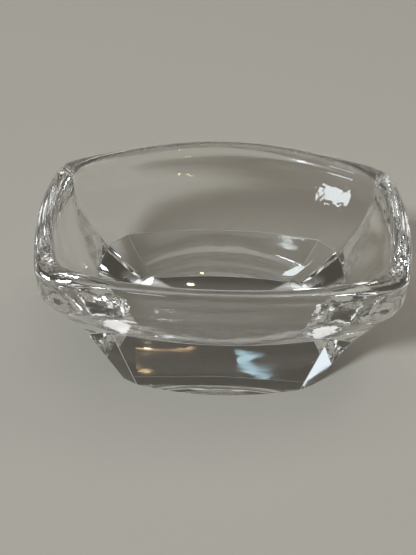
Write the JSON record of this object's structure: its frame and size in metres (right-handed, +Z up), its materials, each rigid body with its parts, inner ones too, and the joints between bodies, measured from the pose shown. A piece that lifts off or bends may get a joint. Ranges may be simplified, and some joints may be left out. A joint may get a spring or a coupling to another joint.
{
  "type": "open salt cellar",
  "caption": "Open oblong glass dish for table salt: a bowed bowl with dipped corners on a solid foot with cut corners.",
  "frame": {"origin": "centre of the flat face under the foot", "axes": "+X along the length of the dish, +Y across its width, +Z up out of the bowl"},
  "size_m": [0.0756, 0.054, 0.034],
  "materials": {
    "glass": "clear, fire-polished"
  },
  "bodies": {
    "root": {"dish": "glass"}
  },
  "joints": []
}
